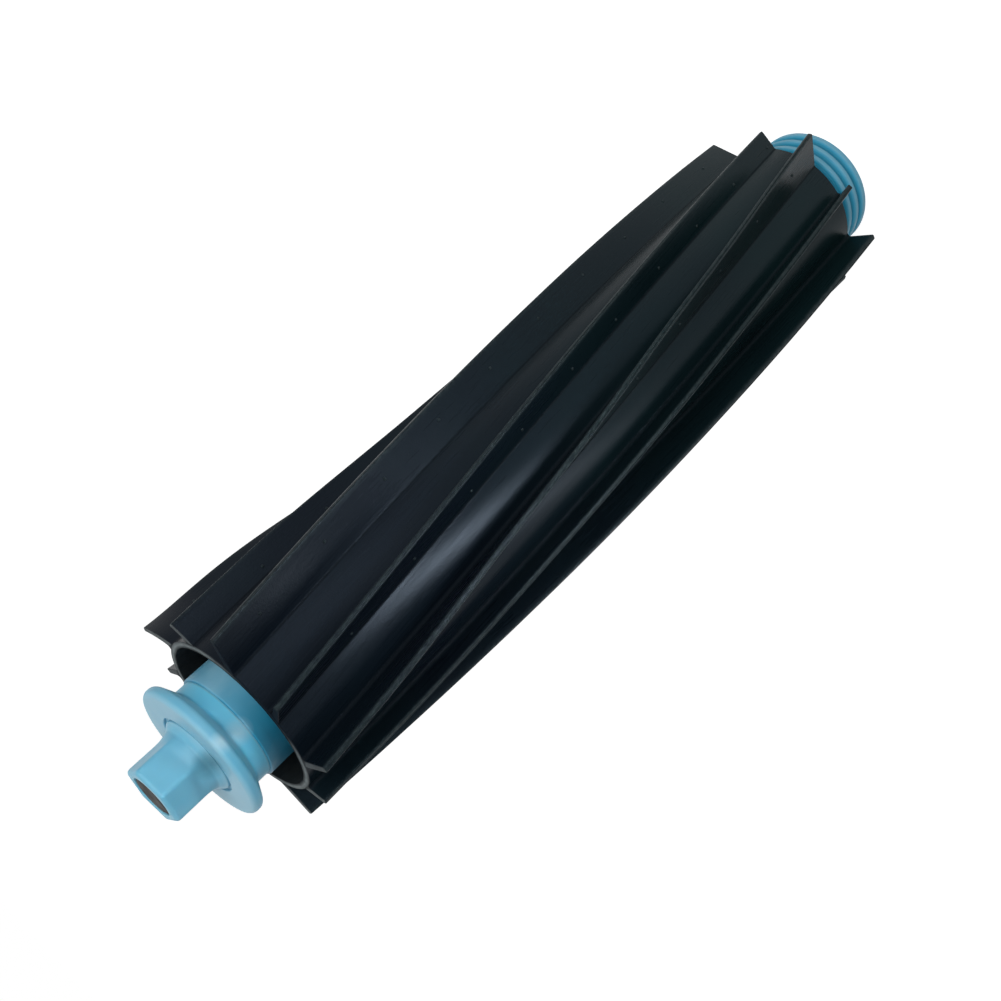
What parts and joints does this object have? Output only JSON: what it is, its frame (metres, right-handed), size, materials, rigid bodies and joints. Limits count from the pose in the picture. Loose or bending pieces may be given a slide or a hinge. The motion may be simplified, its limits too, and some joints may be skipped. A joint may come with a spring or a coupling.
{
  "type": "robot vacuum roller brush",
  "caption": "Roller brush for a robot vacuum: black rubber sleeve with helical leaning blades on a blue plastic core, faceted drive shaft at one end and a ribbed turning cap at the other.",
  "frame": {"origin": "middle of the end cap's flat base, on the roller's axis", "axes": "+Z along the roller's axis from the end cap to the drive shaft, which points up"},
  "size_m": [0.0402, 0.0402, 0.176],
  "materials": {
    "rubber": "satin black rubber",
    "blue_plastic": "satin light blue moulding",
    "steel": "turned steel",
    "bronze": "sintered bronze"
  },
  "bodies": {
    "roller": {"rubber_sleeve": "rubber", "core_tube": "blue_plastic", "drive_plug": "blue_plastic", "drive_pin": "steel", "idle_plug": "blue_plastic", "axle_pin": "steel", "thrust_washer": "steel", "retaining_clip": "steel"},
    "cap": {"end_cap": "blue_plastic", "bearing_bush": "bronze"}
  },
  "joints": [
    {"name": "cap_spin", "type": "hinge", "parent": "roller", "child": "cap", "pos_m": [0, 0, 0], "axis": [0, 0, 1], "continuous": true}
  ]
}
